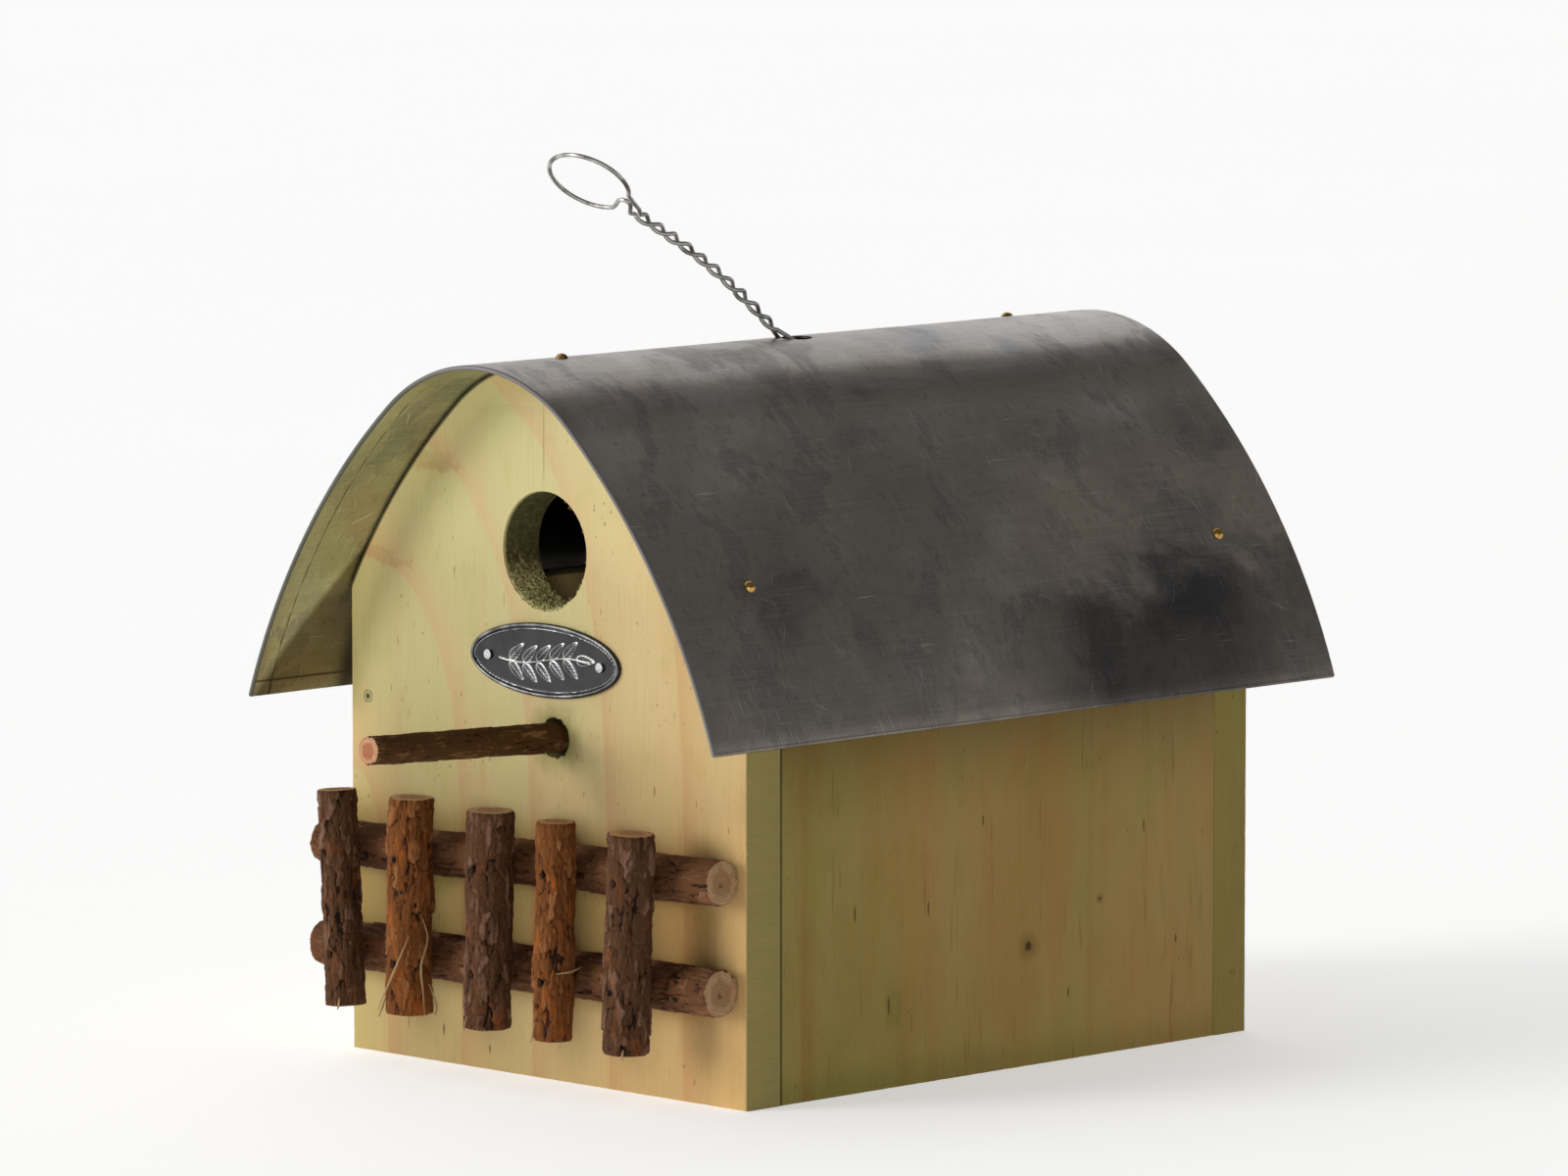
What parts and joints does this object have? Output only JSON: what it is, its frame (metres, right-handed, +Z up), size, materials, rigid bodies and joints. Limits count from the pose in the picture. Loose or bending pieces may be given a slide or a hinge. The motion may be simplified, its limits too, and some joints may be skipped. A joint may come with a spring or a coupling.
{
  "type": "birdhouse",
  "caption": "Wooden birdhouse with an arched zinc roof, round entrance, twig perch, rustic bark fence, swing-out side panel and a twisted wire hanger.",
  "frame": {"origin": "centre of the underside of the floor, midway between the walls", "axes": "+X to the right as seen from the front, +Y from the front board to the back board, +Z up"},
  "size_m": [0.194, 0.3046, 0.2675],
  "materials": {
    "pale_board": "sawn and planed pine with a pale green preservative, matt",
    "zinc": "dark zinc sheet, satin, finely scratched and smudged",
    "brass": "brassed domed nail heads, slightly dull",
    "galvanized_wire": "galvanized wire, satin",
    "bark_twig": "twig with its bark on, rough, sawn ends",
    "bark_post": "flaky red-brown bark, rough, sawn ends",
    "steel_pin": "plain steel pins and brads, dull",
    "pewter": "dark pewter plate with a bright rubbed rim"
  },
  "bodies": {
    "house": {"front_board": "pale_board", "back_board": "pale_board", "right_side_panel": "pale_board", "floor_panel": "pale_board", "roof_sheet": "zinc", "roof_nails": "brass", "perch": "bark_twig", "fence_rail_upper": "bark_twig", "fence_rail_lower": "bark_twig", "fence_post_1": "bark_post", "fence_post_2": "bark_post", "fence_post_3": "bark_post", "fence_post_4": "bark_post", "fence_post_5": "bark_post", "fence_pins": "steel_pin", "rail_nails": "steel_pin", "badge_plate": "pewter", "badge_pins": "pewter", "pivot_nails": "steel_pin", "side_brads": "steel_pin", "floor_brads": "steel_pin"},
    "clean_out_panel": {"left_side_panel": "pale_board"},
    "hanger": {"hanger_wire": "galvanized_wire"}
  },
  "joints": [
    {"name": "panel_swing", "type": "hinge", "parent": "house", "child": "clean_out_panel", "pos_m": [-0.075, 0, 0.1048], "axis": [0, 1, 0], "range_deg": [0, 70]},
    {"name": "hanger_tilt", "type": "hinge", "parent": "house", "child": "hanger", "pos_m": [0, -0.0035, 0.20619], "axis": [-1, 0, 0], "range_deg": [0, 113]}
  ]
}
